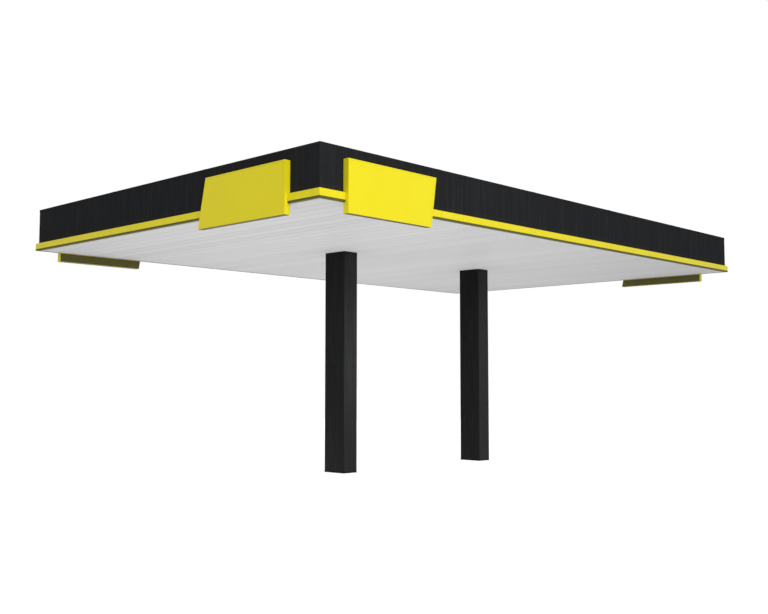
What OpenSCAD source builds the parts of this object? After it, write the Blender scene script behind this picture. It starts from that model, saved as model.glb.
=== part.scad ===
// Filling station canopy on two cased columns, with a black fascia, a yellow trim and four blank signs.
// X runs along the canopy, Y across it and Z up. The origin is on the ground, midway between the columns.
// A local frame on each side of the roof has x along the side, y inwards from the fascia face and z up.

/* [Canopy] */
// Length over the fascia faces
canopy_l = 14880; // [12800:20:17000]
// Width over the fascia faces
canopy_w = 9360; // [8200:20:10400]
// Ground to the underside of the soffit
clear_h = 5000; // [4300:10:5600]

/* [Columns] */
// Distance between the two column centres
column_spacing = 4890; // [4000:10:6000]
// Side of the square steel column
column_side = 250; // [220:5:270]
// Wall of the steel column
column_wall = 12; // [8:1:16]
// Outer radius of the steel column's edges
column_radius = 24; // [18:1:30]
// Base plate along X
plate_x = 350; // [340:2:380]
// Base plate along Y
plate_y = 570; // [560:2:580]
// Thickness of the base plate
plate_t = 30; // [20:1:40]
// Anchor bolt spacing along X
bolt_x = 260; // [250:2:270]
// Anchor bolt spacing along Y
bolt_y = 470; // [450:2:480]
// Diameter of an anchor bolt hole
bolt_hole_d = 34; // [26:1:38]
// Cap plate along X
cap_x = 390; // [370:2:396]
// Thickness of the cap plate
cap_t = 20; // [12:1:30]
// Cap bolt spacing along X
cap_bolt_x = 330; // [320:2:340]
// Cap bolt spacing along Y
cap_bolt_y = 90; // [70:2:100]
// Diameter of a cap bolt hole
cap_hole_d = 22; // [18:1:26]

/* [Column casing] */
// Casing along X
casing_x = 410; // [404:2:460]
// Casing along Y
casing_y = 626; // [600:2:700]
// Thickness of the casing sheet
casing_t = 3; // [2:0.5:4]
// Outer radius of a fold in the casing sheet
fold_r = 6; // [4:0.5:10]
// Open joint between the two halves of a casing
casing_joint = 4; // [2:0.5:8]
// Thickness of the rings that carry the casing
ring_t = 6; // [4:1:10]
// Rings on each column
ring_count = 3; // [2:1:5]

/* [Drainage] */
// Inside width of the middle gutter
gutter_w = 560; // [530:10:640]
// Thickness of the gutter sheet
gutter_t = 3; // [2:0.5:4]
// Gap between the rim of the gutter and the roof sheets
rim_gap = 3; // [1:0.5:6]
// Outer diameter of a downpipe
pipe_d = 76; // [60:1:82]
// Wall of a downpipe
pipe_t = 3; // [2:0.5:4]
// Gap between the steel column and the downpipe
pipe_gap = 42; // [36:1:48]
// Clearance round the downpipe in the rings and the base plate
pipe_clear = 5; // [2:0.5:6]

/* [Soffit] */
// Height of a soffit plank
plank_h = 30; // [20:1:40]
// Width of a soffit plank, about
plank_w = 300; // [200:10:400]
// Thickness of the plank sheet
plank_t = 2; // [1:0.5:3]
// Width of the groove between planks
groove_w = 8; // [5:1:14]
// Depth of the groove between planks
groove_d = 6; // [3:1:10]
// Gap round the soffit and round each casing
soffit_gap = 4; // [2:0.5:8]
// Height of the rails that carry the planks
rail_h = 50; // [30:1:56]
// Width of the rails that carry the planks
rail_w = 40; // [30:1:60]
// Rails over the width
rail_count = 4; // [4:2:6]
// Gap between the rails and the spine beam
rail_gap = 10; // [4:1:20]
// Diameter of a hanger rod
hanger_d = 12; // [8:1:16]

/* [Fascia] */
// Height of the black fascia above the trim
fascia_h = 756; // [700:2:1000]
// Depth of a fascia cassette
cassette_d = 40; // [30:1:60]
// Thickness of the fascia sheet
sheet_t = 3; // [2:0.5:4]
// Open joint between cassettes
cassette_joint = 6; // [3:1:12]
// Cassette count on the front and on the back
front_count = 5; // [4:1:6]
// Cassette count on each end
end_count = 3; // [2:1:4]
// Side of the square tube in the frame behind the fascia
frame_bar = 50; // [40:1:60]
// Stud count in the frame on each end
stud_count = 3; // [3:2:5]
// Thickness of the coping sheet
coping_t = 3; // [2:0.5:4]
// Height of the front leg of the coping
coping_leg = 40; // [20:1:60]
// Fall of the coping towards the roof
coping_fall = 10; // [4:1:20]
// Gap between the frame and the inner leg of the coping
coping_gap = 2; // [1:0.5:5]
// Width of the strap over each joint in the coping
strap_w = 100; // [60:2:160]
// Thickness of the strap over each joint in the coping
strap_t = 2; // [1:0.5:4]

/* [Trim] */
// Height of the yellow trim
trim_h = 160; // [110:1:200]
// How far the trim stands out from the fascia face
trim_out = 50; // [40:1:90]
// Wall of the trim section
trim_t = 4; // [3:0.5:6]
// Radius of the two outer edges of the trim
nose_r = 8; // [6:1:16]

/* [Signs] */
// Height of a sign box
sign_h = 920; // [700:5:1000]
// How far a sign box hangs below the soffit
sign_drop = 196; // [100:2:300]
// Depth of a sign box, from the fascia face to its front
sign_d = 120; // [110:1:160]
// Gap between the trim and the rebate of a sign box
sign_gap = 4; // [2:0.5:10]
// Thickness of the sign sheet
sign_t = 3; // [2:0.5:4]
// Width of the frame round a sign face
rim_w = 26; // [15:1:50]
// How far a sign face lies behind the front of its frame
rim_d = 6; // [3:0.5:10]
// Start of the long side signs, from the corner of the fascia
long_sign_start = 530; // [300:10:900]
// Top width of the long side signs
long_sign_top = 2225; // [1800:5:2600]
// Bottom width of the long side signs
long_sign_bottom = 2085; // [1800:5:2600]
// Start of the short side signs, from the corner of the fascia
short_sign_start = 730; // [300:10:900]
// Top width of the short side signs
short_sign_top = 2190; // [1800:5:2600]
// Bottom width of the short side signs
short_sign_bottom = 2405; // [1800:5:2600]
// Width of the rails that fix a sign box to the fascia
sign_rail_w = 60; // [40:1:100]
// Depth of the rails that fix a sign box to the fascia
sign_rail_d = 30; // [20:1:40]
// From each end of a sign box to the rail next to it
sign_rail_in = 300; // [200:10:500]

/* [Roof] */
// Fall of each half of the roof towards the middle gutter, in degrees
roof_fall = 1; // [0.5:0.1:1.5]
// Height of the spine beam over the columns
spine_h = 280; // [240:5:300]
// Flange width of the spine beam
spine_w = 150; // [120:5:160]
// Thickness of the stiffeners in the spine beam
stiffener_t = 12; // [8:1:16]
// Height of the cross beams
cross_h = 160; // [120:5:170]
// Flange width of the cross beams
cross_w = 82; // [70:1:100]
// Cross beams between the columns
beams_between = 2; // [1:1:3]
// Cross beams beyond each column
beams_beyond = 2; // [2:1:3]
// Thickness of the seat plate under each cross beam
seat_t = 10; // [6:1:16]
// Thickness of the beam webs
web_t = 7; // [5:1:10]
// Thickness of the beam flanges
flange_t = 11; // [8:1:14]
// Height of the purlins
purlin_h = 100; // [80:5:110]
// Flange width of the purlins
purlin_w = 50; // [40:1:65]
// Thickness of the purlin section
purlin_t = 4; // [3:0.5:5]
// Purlins on each half of the roof
purlin_count = 4; // [3:1:6]
// Gap between a purlin and the gutter or the coping
purlin_gap = 10; // [5:1:30]
// Spacing of the ribs in the roof sheets, about
rib_pitch = 250; // [180:10:340]
// Height of the ribs in the roof sheets
rib_h = 35; // [20:1:45]
// Width of a rib at its foot
rib_foot = 60; // [45:1:80]
// Width of a rib at its top
rib_top = 30; // [20:1:40]
// Thickness of the roof sheets
deck_t = 3; // [2:0.5:4]
// Gap between the roof sheets and the coping
deck_gap = 10; // [5:1:20]
// How far the roof sheets reach over the gutter
deck_lip = 30; // [10:1:60]
// Width of the flashing on the roof sheets
flashing_w = 110; // [80:5:140]
// Height of the flashing up the coping
flashing_h = 60; // [40:1:90]
// Thickness of the flashing
flashing_t = 2; // [1:0.5:3]

/* [Hidden] */

black = "#262729";
yellow = "#F2E63A";
soffit_grey = "#D2D3D4";
steel_grey = "#8C9296";
zinc_grey = "#B4B9BC";

// A cutting block runs this far past the solid that it cuts
past = 10;
far_out = 40000;

left_x = -column_spacing / 2;
right_x = column_spacing / 2;
pipe_y = column_side / 2 + pipe_gap + pipe_d / 2;

// Levels, from the ground up
soffit_top = clear_h + plank_h;
spine_z = soffit_top + rail_h + rail_gap;
column_top = spine_z - cap_t;
seat_z = spine_z + spine_h;
roof_z0 = seat_z + seat_t;
trim_top = clear_h + trim_h;
fascia_top = trim_top + fascia_h;

// The fascia frame takes up the depth from the back of the cassettes to this inner face
frame_in = cassette_d + frame_bar;
inner_x = canopy_l / 2 - frame_in;
inner_y = canopy_w / 2 - frame_in;
coping_in = frame_in + coping_gap + coping_t;
deck_edge = coping_in + deck_gap;

// Each column stands midway between two cross beams
between_step = column_spacing / beams_between;
beyond_step = (canopy_l / 2 - right_x) / beams_beyond;
cross_xs = concat(
    [for (i = [0:beams_between - 1]) left_x + (i + 0.5) * between_step],
    [for (side = [-1, 1], i = [0:beams_beyond - 1]) side * (right_x + (i + 0.5) * beyond_step)]
);
rail_step = 2 * inner_y / rail_count;
rail_ys = [for (i = [0:rail_count - 1]) (i + 0.5) * rail_step - inner_y];

// Height of a level of the sloping roof frame over the point that is y from the middle
function roof_z(y, h) = roof_z0 + abs(y) * tan(roof_fall) + h / cos(roof_fall);

// Heights over the foot of the cross beams, square to the slope
deck_z = cross_h + purlin_h;
rib_top_z = deck_z + rib_h + deck_t;

purlin_start = gutter_w / 2 + gutter_t + purlin_gap;
purlin_end = canopy_w / 2 - coping_in - purlin_gap - purlin_w;
purlin_step = (purlin_end - purlin_start) / (purlin_count - 1);

module rounded_rect(x, y, r) {
    square([x, y - 2 * r], center = true);
    square([x - 2 * r, y], center = true);
    for (i = [-1, 1], j = [-1, 1])
        translate([i * (x / 2 - r), j * (y / 2 - r)]) circle(r, $fn = 48);
}

module i_section(h, w) {
    translate([-w / 2, 0]) square([w, flange_t]);
    translate([-w / 2, h - flange_t]) square([w, flange_t]);
    translate([-web_t / 2, 0]) square([web_t, h]);
}

module c_section(h, w, t) {
    square([t, h]);
    square([w, t]);
    translate([0, h - t]) square([w, t]);
}

// An outline in the YZ plane, drawn out along X to each side of the middle
module along_x(length) {
    rotate([90, 0, 90]) linear_extrude(length, center = true) children();
}

// An outline in the XZ plane, drawn out along +Y from the middle, with its X turned round
module along_y(length) {
    rotate([90, 0, 180]) linear_extrude(length) children();
}

// Four holes on the corners of a rectangle, through a plate whose underside is at z = 0
module hole_pattern(spacing_x, spacing_y, d, depth) {
    for (i = [-1, 1], j = [-1, 1])
        translate([i * spacing_x / 2, j * spacing_y / 2, -past])
            cylinder(h = depth + 2 * past, d = d, $fn = 48);
}

// The local frame of each side of the roof, seen from outside
module on_front() { translate([-canopy_l / 2, -canopy_w / 2, 0]) children(); }
module on_right() { translate([canopy_l / 2, -canopy_w / 2, 0]) rotate([0, 0, 90]) children(); }
module on_back() { translate([canopy_l / 2, canopy_w / 2, 0]) rotate([0, 0, 180]) children(); }
module on_left() { translate([-canopy_l / 2, canopy_w / 2, 0]) rotate([0, 0, 270]) children(); }

// An outline of depth and height, drawn out along a side of the roof and mitred at both corners
module mitred_bar(side_l, out, in) {
    intersection() {
        translate([-out - past, 0, 0]) rotate([90, 0, 90])
            linear_extrude(side_l + 2 * (out + past)) children();
        linear_extrude(far_out)
            polygon([[-out, -out], [side_l + out, -out], [side_l - in, in], [in, in]]);
    }
}

/* Columns and their casings */

module base_plate(x) {
    color(steel_grey) translate([x, 0, 0]) difference() {
        translate([-plate_x / 2, -plate_y / 2, 0]) cube([plate_x, plate_y, plate_t]);
        hole_pattern(bolt_x, bolt_y, bolt_hole_d, plate_t);
        translate([0, pipe_y, -past])
            cylinder(h = plate_t + 2 * past, d = pipe_d + 2 * pipe_clear, $fn = 64);
    }
}

// The cap plate reaches past the tube along X, and its bolts stand clear of the tube
module column(x) {
    column_bore = column_side - 2 * column_wall;
    color(steel_grey) translate([x, 0, 0]) {
        translate([0, 0, plate_t]) linear_extrude(column_top - plate_t) difference() {
            rounded_rect(column_side, column_side, column_radius);
            rounded_rect(column_bore, column_bore, column_radius - column_wall / 2);
        }
        translate([0, 0, column_top]) difference() {
            translate([-cap_x / 2, -column_side / 2, 0]) cube([cap_x, column_side, cap_t]);
            hole_pattern(cap_bolt_x, cap_bolt_y, cap_hole_d, cap_t);
        }
    }
}

// The outline of a casing, drawn in by t
module casing_outline(t) {
    rounded_rect(casing_x - 2 * t, casing_y - 2 * t, fold_r - t);
}

module casing_rings(x) {
    color(zinc_grey) for (i = [0:ring_count - 1])
        translate([x, 0, clear_h * (i + 0.5) / ring_count]) linear_extrude(ring_t) difference() {
            casing_outline(casing_t);
            rounded_rect(column_side, column_side, column_radius);
            translate([0, pipe_y]) circle(d = pipe_d + 2 * pipe_clear, $fn = 64);
        }
}

// One folded half of a casing, on the +Y side of the column
module casing_half() {
    color(black) linear_extrude(soffit_top) difference() {
        casing_outline(0);
        casing_outline(casing_t);
        translate([-casing_x, casing_joint / 2 - casing_y]) square([2 * casing_x, casing_y]);
    }
}

module left_casing_back() { translate([left_x, 0, 0]) casing_half(); }
module left_casing_front() { translate([left_x, 0, 0]) rotate([0, 0, 180]) casing_half(); }
module right_casing_back() { translate([right_x, 0, 0]) casing_half(); }
module right_casing_front() { translate([right_x, 0, 0]) rotate([0, 0, 180]) casing_half(); }

/* Drainage: rain runs to the middle gutter, and from there down inside the casings */

gutter_sole = roof_z(gutter_w / 2 + gutter_t, cross_h);

module roof_gutter() {
    rim = roof_z(gutter_w / 2, deck_z) - rim_gap;
    color(zinc_grey) difference() {
        translate([-deck_l / 2, -gutter_w / 2 - gutter_t, gutter_sole])
            cube([deck_l, gutter_w + 2 * gutter_t, rim - gutter_sole]);
        translate([gutter_t - deck_l / 2, -gutter_w / 2, gutter_sole + gutter_t])
            cube([deck_l - 2 * gutter_t, gutter_w, rim - gutter_sole]);
        for (x = [left_x, right_x]) translate([x, pipe_y, gutter_sole - past])
            cylinder(h = gutter_t + 2 * past, d = pipe_d - 2 * pipe_t, $fn = 64);
    }
}

module downpipe(x) {
    color(zinc_grey) translate([x, pipe_y, 0]) difference() {
        cylinder(h = gutter_sole, d = pipe_d, $fn = 64);
        translate([0, 0, -past]) cylinder(h = gutter_sole + 2 * past, d = pipe_d - 2 * pipe_t, $fn = 64);
    }
}

/* Roof frame */

// Stiffeners stand in the beam over the two walls of each column
module spine_beam() {
    wing = (spine_w - web_t) / 2;
    color(steel_grey) translate([0, 0, spine_z]) difference() {
        union() {
            along_x(2 * inner_x) i_section(spine_h, spine_w);
            for (x = [left_x, right_x], i = [-1, 1], side = [-1, 1])
                translate([
                    x + i * (column_side - column_wall) / 2 - stiffener_t / 2,
                    side * (web_t + wing) / 2 - wing / 2,
                    flange_t
                ]) cube([stiffener_t, wing, spine_h - 2 * flange_t]);
        }
        for (x = [left_x, right_x]) translate([x, 0, 0])
            hole_pattern(cap_bolt_x, cap_bolt_y, cap_hole_d, flange_t);
    }
}

// The two arms rise from the spine beam and end on the fascia frames
module cross_beam() {
    intersection() {
        union() {
            translate([-cross_w / 2, -spine_w / 2, seat_z])
                cube([cross_w, spine_w, seat_t + spine_w / 2 * tan(roof_fall)]);
            for (half = [0, 1]) mirror([0, half, 0])
                translate([0, 0, roof_z0]) rotate([roof_fall, 0, 0])
                    along_y(canopy_w / 2) i_section(cross_h, cross_w);
        }
        translate([-canopy_l / 2, -inner_y, 0]) cube([canopy_l, 2 * inner_y, far_out]);
    }
}

module cross_beams() {
    color(steel_grey) for (x = cross_xs) translate([x, 0, 0]) cross_beam();
}

module purlins() {
    color(zinc_grey) translate([0, 0, roof_z0]) rotate([roof_fall, 0, 0])
        for (i = [0:purlin_count - 1])
            translate([0, purlin_start + i * purlin_step, cross_h])
                along_x(canopy_l - 2 * coping_in - 2 * purlin_gap) c_section(purlin_h, purlin_w, purlin_t);
}

module back_purlins() { purlins(); }
module front_purlins() { mirror([0, 1, 0]) purlins(); }

/* Roof covering */

deck_l = canopy_l - 2 * deck_edge;
rib_count = round(deck_l / rib_pitch);
rib_step = deck_l / rib_count;
rib_flank = (rib_foot - rib_top) / 2;

// One face of the ribbed sheet, from left to right
function rib_line(z) = [
    for (i = [0:rib_count - 1], p = [
        [0, 0],
        [(rib_step - rib_foot) / 2, 0],
        [(rib_step - rib_foot) / 2 + rib_flank, rib_h],
        [(rib_step - rib_foot) / 2 + rib_flank + rib_top, rib_h],
        [(rib_step + rib_foot) / 2, 0]
    ]) if (i == 0 || p[0] > 0) [i * rib_step + p[0] - deck_l / 2, p[1] + z]
];

function backwards(list) = [for (i = [len(list) - 1:-1:0]) list[i]];

deck_start = (gutter_w / 2 - deck_lip) / cos(roof_fall);

module roof_sheet() {
    end = (canopy_w / 2 - deck_edge) / cos(roof_fall);
    color(zinc_grey) translate([0, 0, roof_z0]) rotate([roof_fall, 0, 0])
        translate([0, deck_start, deck_z]) along_y(end - deck_start) polygon(concat(
            rib_line(0), [[deck_l / 2, 0], [deck_l / 2, deck_t]], backwards(rib_line(deck_t))));
}

module back_roof_sheet() { roof_sheet(); }
module front_roof_sheet() { mirror([0, 1, 0]) roof_sheet(); }

// An angle that lies on the ribs and stands against the coping, on the side where the sheets end
module side_flashing() {
    outer = canopy_w / 2 - coping_in;
    inner = outer - flashing_w;
    foot = roof_z(outer, rib_top_z);
    color(zinc_grey) along_x(canopy_l - 2 * coping_in) polygon([
        [inner, roof_z(inner, rib_top_z)], [outer, foot], [outer, foot + flashing_h],
        [outer - flashing_t, foot + flashing_h], [outer - flashing_t, foot + flashing_t],
        [inner, roof_z(inner, rib_top_z) + flashing_t]
    ]);
}

// The same angle beside the last rib, from the gutter up to the side flashing
module end_flashing() {
    stop = (canopy_w / 2 - coping_in - flashing_w) / cos(roof_fall);
    color(zinc_grey) translate([0, 0, roof_z0]) rotate([roof_fall, 0, 0])
        translate([0, deck_start, rib_top_z]) along_y(stop - deck_start)
            translate([canopy_l / 2 - coping_in, 0]) mirror([1, 0]) {
                square([flashing_w, flashing_t]);
                square([flashing_t, flashing_h]);
            }
}

module side_flashings() {
    for (half = [0, 1]) mirror([0, half, 0]) side_flashing();
}
module end_flashings() {
    for (end = [0, 1], half = [0, 1]) mirror([end, 0, 0]) mirror([0, half, 0]) end_flashing();
}

/* Soffit */

// The upper face of the planks: over each joint the sheet steps up round the groove to a standing seam
function seam(x) = [
    [x - groove_w / 2 - plank_t, plank_t],
    [x - groove_w / 2 - plank_t, groove_d + plank_t],
    [x - plank_t, groove_d + plank_t],
    [x - plank_t, plank_h],
    [x + plank_t, plank_h],
    [x + plank_t, groove_d + plank_t],
    [x + groove_w / 2 + plank_t, groove_d + plank_t],
    [x + groove_w / 2 + plank_t, plank_t]
];

function groove(x) = [
    [x - groove_w / 2, 0], [x - groove_w / 2, groove_d], [x + groove_w / 2, groove_d], [x + groove_w / 2, 0]
];

// Planks that run across the canopy, with a folded edge at each end of the bay
module soffit_bay(x0, x1) {
    planks = round((x1 - x0) / plank_w);
    step = (x1 - x0) / planks;
    hole_x = casing_x + 2 * soffit_gap;
    hole_y = casing_y + 2 * soffit_gap;
    length = 2 * (inner_y - soffit_gap);
    joints = [for (i = [1:planks - 1]) x0 + i * step];
    color(soffit_grey) translate([0, 0, clear_h]) difference() {
        translate([0, -length / 2, 0]) mirror([1, 0, 0]) along_y(length) polygon(concat(
            [[x0, plank_h], [x0, 0]],
            [for (x = joints, p = groove(x)) p],
            [[x1, 0], [x1, plank_h], [x1 - plank_t, plank_h], [x1 - plank_t, plank_t]],
            backwards([for (x = joints, p = seam(x)) p]),
            [[x0 + plank_t, plank_t], [x0 + plank_t, plank_h]]
        ));
        for (x = [left_x, right_x]) translate([x - hole_x / 2, -hole_y / 2, -past])
            cube([hole_x, hole_y, plank_h + 2 * past]);
    }
}

module left_soffit() { soffit_bay(-inner_x + soffit_gap, left_x - soffit_gap / 2); }
module middle_soffit() { soffit_bay(left_x + soffit_gap / 2, right_x - soffit_gap / 2); }
module right_soffit() { soffit_bay(right_x + soffit_gap / 2, inner_x - soffit_gap); }

// Rails on the seams of the planks, hung on rods from the cross beams
module soffit_grid() {
    rod_foot = soffit_top + rail_h - purlin_t / 2;
    color(zinc_grey) for (y = rail_ys) {
        translate([0, y - rail_w / 2, soffit_top]) along_x(2 * (inner_x - soffit_gap))
            c_section(rail_h, rail_w, purlin_t);
        for (x = cross_xs) translate([x, y, rod_foot])
            cylinder(h = roof_z(abs(y) - hanger_d / 2, 0) - rod_foot, d = hanger_d, $fn = 32);
    }
}

/* Fascia */

// A ladder of square tube with a stud at each place where a beam ends
module fascia_frame(start, end, studs) {
    color(steel_grey) {
        for (z = [trim_top, fascia_top - frame_bar])
            translate([start, cassette_d, z]) cube([end - start, frame_bar, frame_bar]);
        for (x = concat([start + frame_bar / 2, end - frame_bar / 2], studs))
            translate([x - frame_bar / 2, cassette_d, trim_top])
                cube([frame_bar, frame_bar, fascia_h]);
    }
}

module long_fascia_frame() {
    fascia_frame(cassette_d, canopy_l - cassette_d, [for (x = cross_xs) x + canopy_l / 2]);
}
module short_fascia_frame() {
    fascia_frame(frame_in, canopy_w - frame_in, [for (i = [1:stud_count]) i * canopy_w / (stud_count + 1)]);
}

module front_fascia_frame() { on_front() long_fascia_frame(); }
module back_fascia_frame() { on_back() long_fascia_frame(); }
module left_fascia_frame() { on_left() short_fascia_frame(); }
module right_fascia_frame() { on_right() short_fascia_frame(); }

// A folded tray that is open at the back. An end that is mitred meets the next side at the corner
module cassette(x0, x1, mitre0, mitre1) {
    d = cassette_d;
    t = sheet_t;
    mitred_t = t / cos(45);
    in0 = mitre0 ? mitred_t : t;
    in1 = mitre1 ? mitred_t : t;
    lean0 = mitre0 ? 1 : 0;
    lean1 = mitre1 ? 1 : 0;
    difference() {
        translate([0, 0, trim_top]) linear_extrude(fascia_h)
            polygon([[x0, 0], [x1, 0], [x1 - lean1 * d, d], [x0 + lean0 * d, d]]);
        translate([0, 0, trim_top + t]) linear_extrude(fascia_h - 2 * t)
            polygon([
                [x0 + in0 + lean0 * t, t], [x1 - in1 - lean1 * t, t],
                [x1 - in1 - lean1 * (d + past), d + past], [x0 + in0 + lean0 * (d + past), d + past]
            ]);
    }
}

module fascia(side_l, count) {
    step = side_l / count;
    color(black) for (i = [0:count - 1])
        cassette(
            i * step + (i > 0 ? cassette_joint / 2 : 0),
            (i + 1) * step - (i < count - 1 ? cassette_joint / 2 : 0),
            i == 0, i == count - 1
        );
}

module front_fascia() { on_front() fascia(canopy_l, front_count); }
module back_fascia() { on_back() fascia(canopy_l, front_count); }
module left_fascia() { on_left() fascia(canopy_w, end_count); }
module right_fascia() { on_right() fascia(canopy_w, end_count); }

// The outline of the trim, drawn in by t, with a rounded nose
module trim_outline(t) {
    r = nose_r - t;
    h = trim_h - 2 * t;
    translate([t - trim_out, clear_h + t]) {
        translate([r, 0]) square([trim_out + frame_in - 2 * t - r, h]);
        translate([0, r]) square([r, h - 2 * r]);
        for (z = [r, h - r]) translate([r, z]) circle(r, $fn = 48);
    }
}

// A hollow section under the cassettes and the frame, whose nose stands out from the fascia
module trim(side_l) {
    color(yellow) mitred_bar(side_l, trim_out, frame_in) difference() {
        trim_outline(0);
        trim_outline(trim_t);
    }
}

module front_trim() { on_front() trim(canopy_l); }
module back_trim() { on_back() trim(canopy_l); }
module left_trim() { on_left() trim(canopy_w); }
module right_trim() { on_right() trim(canopy_w); }

// A folded cap over the cassettes and the frame, which sheds rain towards the roof. It comes in lengths
// that meet over the joints between the cassettes, under straps
module coping(side_l, count) {
    inner_foot = roof_z(canopy_w / 2, cross_h);
    front_foot = fascia_top - coping_leg;
    outer_top = fascia_top + coping_fall + coping_t;
    inner_top = fascia_top + coping_t;
    color(black) {
        mitred_bar(side_l, coping_t, coping_in) polygon([
            [-coping_t, front_foot], [0, front_foot], [0, outer_top - coping_t],
            [coping_in - coping_t, inner_top - coping_t], [coping_in - coping_t, inner_foot],
            [coping_in, inner_foot], [coping_in, inner_top], [-coping_t, outer_top]
        ]);
        for (i = [1:count - 1]) translate([i * side_l / count - strap_w / 2, 0, 0]) rotate([90, 0, 90])
            linear_extrude(strap_w) polygon([
                [-coping_t - strap_t, front_foot], [-coping_t, front_foot], [-coping_t, outer_top],
                [coping_in, inner_top], [coping_in, front_foot], [coping_in + strap_t, front_foot],
                [coping_in + strap_t, inner_top + strap_t], [-coping_t - strap_t, outer_top + strap_t]
            ]);
    }
}

module front_coping() { on_front() coping(canopy_l, front_count); }
module back_coping() { on_back() coping(canopy_l, front_count); }
module left_coping() { on_left() coping(canopy_w, end_count); }
module right_coping() { on_right() coping(canopy_w, end_count); }

/* Signs */

sign_z = clear_h - sign_drop;

// Depth and height of the box with its rebate for the trim. For the hollow the walls are drawn in by t,
// the face lies back in its frame, and above the trim the back is left open
function sign_section(t) = let(
    front = t > 0 ? t + rim_d - sign_d : -sign_d,
    rebate = -trim_out - sign_gap - t,
    back = t > 0 ? past : 0
) [
    [front, sign_z + t], [-t, sign_z + t], [-t, clear_h - sign_gap - t],
    [rebate, clear_h - sign_gap - t], [rebate, trim_top + sign_gap + t],
    [back, trim_top + sign_gap + t], [back, sign_z + sign_h - t], [front, sign_z + sign_h - t]
];

// The face has an upright end and a slanting one, both drawn in by t
module sign_outline(top_w, bottom_w, t) {
    slant_t = t / cos(atan((top_w - bottom_w) / sign_h));
    polygon([[t, 0], [bottom_w - slant_t, 0], [top_w - slant_t, sign_h], [t, sign_h]]);
}

module sign_block(top_w, bottom_w, t) {
    reach = max(top_w, bottom_w);
    intersection() {
        rotate([90, 0, 90]) linear_extrude(reach) polygon(sign_section(t));
        translate([0, 2 * past, sign_z]) rotate([90, 0, 0]) linear_extrude(sign_d + 4 * past)
            sign_outline(top_w, bottom_w, t);
    }
}

module sign_face_recess(top_w, bottom_w) {
    reach = max(top_w, bottom_w);
    translate([0, rim_d - sign_d, sign_z]) rotate([90, 0, 0]) linear_extrude(rim_d + past) intersection() {
        sign_outline(top_w, bottom_w, rim_w);
        translate([0, rim_w]) square([reach, sign_h - 2 * rim_w]);
    }
}

module sign(start, top_w, bottom_w) {
    narrow = min(top_w, bottom_w);
    rail_foot = trim_top + sign_gap + sign_t;
    color(yellow) translate([start, 0, 0]) {
        difference() {
            sign_block(top_w, bottom_w, 0);
            sign_block(top_w, bottom_w, sign_t);
            sign_face_recess(top_w, bottom_w);
        }
        for (x = [sign_rail_in, narrow - sign_rail_in - sign_rail_w])
            translate([x, -sign_rail_d, rail_foot])
                cube([sign_rail_w, sign_rail_d, sign_z + sign_h - sign_t - rail_foot]);
    }
}

module front_sign() { on_front() sign(long_sign_start, long_sign_top, long_sign_bottom); }
module back_sign() { mirror([0, 1, 0]) front_sign(); }
module right_sign() { on_right() sign(short_sign_start, short_sign_top, short_sign_bottom); }
module left_sign() { mirror([1, 0, 0]) right_sign(); }

base_plate(left_x);  // left_base_plate
base_plate(right_x);  // right_base_plate
column(left_x);  // left_column
column(right_x);  // right_column
casing_rings(left_x);  // left_casing_rings
casing_rings(right_x);  // right_casing_rings
left_casing_front();
left_casing_back();
right_casing_front();
right_casing_back();
downpipe(left_x);  // left_downpipe
downpipe(right_x);  // right_downpipe
spine_beam();
cross_beams();
front_purlins();
back_purlins();
front_roof_sheet();
back_roof_sheet();
roof_gutter();
side_flashings();
end_flashings();
soffit_grid();
left_soffit();
middle_soffit();
right_soffit();
front_fascia_frame();
back_fascia_frame();
left_fascia_frame();
right_fascia_frame();
front_fascia();
back_fascia();
left_fascia();
right_fascia();
front_trim();
back_trim();
left_trim();
right_trim();
front_coping();
back_coping();
left_coping();
right_coping();
front_sign();
back_sign();
left_sign();
right_sign();
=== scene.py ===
"""A filling station canopy: steel columns in black casings, a steel roof frame, a ribbed sheet roof,
a pale planked soffit, a black fascia with a yellow trim, and four blank yellow sign boxes."""

import math

import bpy
from mathutils import Matrix, Vector


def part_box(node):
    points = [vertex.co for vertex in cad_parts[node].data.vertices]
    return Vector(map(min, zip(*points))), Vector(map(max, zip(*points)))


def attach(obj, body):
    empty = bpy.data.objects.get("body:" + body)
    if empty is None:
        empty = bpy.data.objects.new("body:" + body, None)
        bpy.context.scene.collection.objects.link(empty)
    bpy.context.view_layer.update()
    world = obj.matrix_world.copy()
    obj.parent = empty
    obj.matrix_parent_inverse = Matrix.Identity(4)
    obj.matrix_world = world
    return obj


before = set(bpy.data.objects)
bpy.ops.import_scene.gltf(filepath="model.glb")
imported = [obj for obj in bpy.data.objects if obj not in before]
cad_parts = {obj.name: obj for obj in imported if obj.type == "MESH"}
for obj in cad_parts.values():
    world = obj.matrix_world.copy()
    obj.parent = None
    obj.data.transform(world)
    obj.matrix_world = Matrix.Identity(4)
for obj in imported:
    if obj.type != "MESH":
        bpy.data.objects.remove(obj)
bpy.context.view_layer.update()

# Steel frame
# Columns, base plates, beams and the ladder frames behind the fascia are rolled steel. They are shot
# blasted and sprayed with a grey zinc phosphate primer in the shop, which dries matt and a little blotchy.


def linear(hex_colour):
    """A colour written as sRGB hex, in the linear values that a shader takes."""
    parts = [int(hex_colour[i:i + 2], 16) / 255 for i in (1, 3, 5)]
    return [p / 12.92 if p <= 0.04045 else ((p + 0.055) / 1.055) ** 2.4 for p in parts] + [1]


def new_material(name):
    material = bpy.data.materials.new(name)
    material.use_nodes = True
    material.node_tree.nodes.clear()
    return material


def add_node(material, kind, settings, links):
    """One shader node. A setting is a socket's value or an attribute, and a link ends in a socket."""
    node = material.node_tree.nodes.new("ShaderNode" + kind)
    for key, value in settings.items():
        if isinstance(key, int) or key in node.inputs:
            node.inputs[key].default_value = value
        else:
            setattr(node, key, value)
    for key, output in links.items():
        material.node_tree.links.new(output, node.inputs[key])
    return node


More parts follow.
